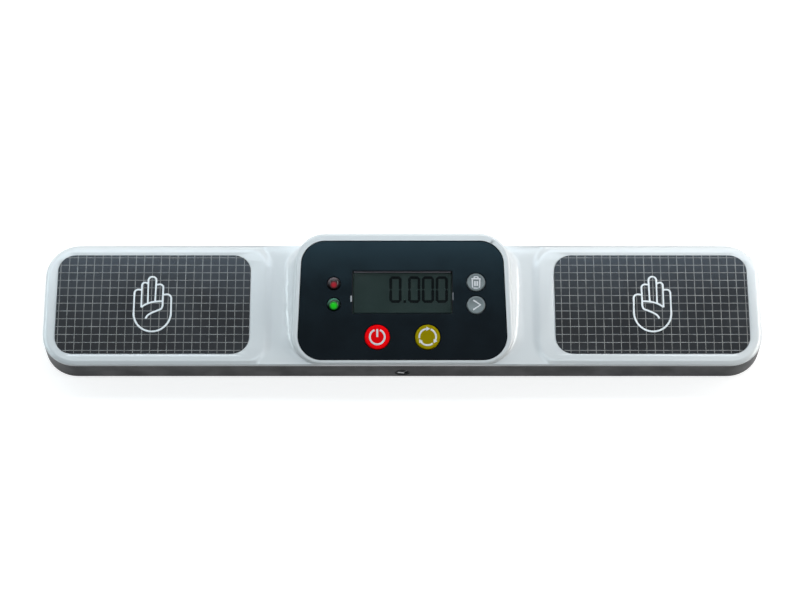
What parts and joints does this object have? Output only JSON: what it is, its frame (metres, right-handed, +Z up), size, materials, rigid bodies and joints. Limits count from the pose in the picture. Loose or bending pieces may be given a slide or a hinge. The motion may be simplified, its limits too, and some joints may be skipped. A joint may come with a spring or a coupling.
{
  "type": "speed cube timer",
  "caption": "Long low bar timer with a hand pad on each wing, a tilted display console between them, push buttons, lamps, a data jack and a battery door.",
  "frame": {"origin": "middle of the footprint, on the table that the feet stand on", "axes": "+X along the bar to the right, -Y towards the user, +Z up"},
  "size_m": [0.287, 0.052, 0.0274],
  "materials": {
    "shell_white": "glossy moulded shell",
    "base_grey": "fine moulded texture",
    "panel_black": "glossy display panel",
    "pad_black": "satin pad with a fine printed grid and a hand outline",
    "copper": "bare copper",
    "display_glass": "polished",
    "display_ink": "dark display segments",
    "display_back": "grey-green display back",
    "frame_ivory": "moulded",
    "elastomer": "layered conductive rubber",
    "board_green": "solder mask",
    "chip_black": "moulded epoxy",
    "bright_steel": "nickel plated",
    "ceramic_tan": "fired ceramic",
    "switch_grey": "moulded",
    "button_red": "printed icon under a clear coat",
    "button_olive": "printed icon under a clear coat",
    "button_grey": "printed icon under a clear coat",
    "plunger_black": "moulded",
    "lamp_red": "tinted clear lens, unlit",
    "lamp_green": "tinted clear lens, lit",
    "jack_black": "moulded",
    "cell_sleeve": "plain printed sleeve",
    "wire_red": "insulation",
    "wire_yellow": "insulation",
    "screw_steel": "zinc plated",
    "foot_rubber": "moulded rubber"
  },
  "bodies": {
    "housing": {"top_shell": "shell_white", "bottom_cover": "base_grey", "front_panel": "panel_black", "left_touch_pad": "pad_black", "right_touch_pad": "pad_black", "left_sensor_plate": "copper", "right_sensor_plate": "copper", "lcd_front_glass": "display_glass", "lcd_segments": "display_ink", "lcd_rear_glass": "display_back", "lcd_frame": "frame_ivory", "zebra_strips": "elastomer", "main_board": "board_green", "timer_chip": "chip_black", "crystal": "bright_steel", "board_parts": "ceramic_tan", "switch_bodies": "switch_grey", "red_led": "lamp_red", "green_led": "lamp_green", "jack_block": "jack_black", "jack_sleeve": "bright_steel", "jack_terminals": "bright_steel", "front_cell": "cell_sleeve", "rear_cell": "cell_sleeve", "cell_springs": "bright_steel", "link_contact": "bright_steel", "terminal_contacts": "bright_steel", "battery_wires": "wire_red", "jack_wires": "wire_yellow", "left_sensor_wire": "wire_red", "right_sensor_wire": "wire_red", "housing_screws": "screw_steel", "board_screws": "screw_steel", "rubber_feet": "foot_rubber"},
    "power_button": {"power_button": "button_red", "power_plunger": "plunger_black"},
    "reset_button": {"reset_button": "button_olive", "reset_plunger": "plunger_black"},
    "delete_button": {"delete_button": "button_grey", "delete_plunger": "plunger_black"},
    "next_button": {"next_button": "button_grey", "next_plunger": "plunger_black"},
    "battery_door": {"battery_door": "base_grey"}
  },
  "joints": [
    {"name": "power_press", "type": "slide", "parent": "housing", "child": "power_button", "axis": [0, 0.2588, -0.9659], "range_m": [0, 0.0004], "stiffness_N_per_m": 1500, "springref_m": -0.0002},
    {"name": "reset_press", "type": "slide", "parent": "housing", "child": "reset_button", "axis": [0, 0.2588, -0.9659], "range_m": [0, 0.0004], "stiffness_N_per_m": 1500, "springref_m": -0.0002},
    {"name": "delete_press", "type": "slide", "parent": "housing", "child": "delete_button", "axis": [0, 0.2588, -0.9659], "range_m": [0, 0.0004], "stiffness_N_per_m": 1500, "springref_m": -0.0002},
    {"name": "next_press", "type": "slide", "parent": "housing", "child": "next_button", "axis": [0, 0.2588, -0.9659], "range_m": [0, 0.0004], "stiffness_N_per_m": 1500, "springref_m": -0.0002},
    {"name": "door_slide", "type": "slide", "parent": "housing", "child": "battery_door", "axis": [0, 1, 0], "range_m": [0, 0.024]}
  ]
}
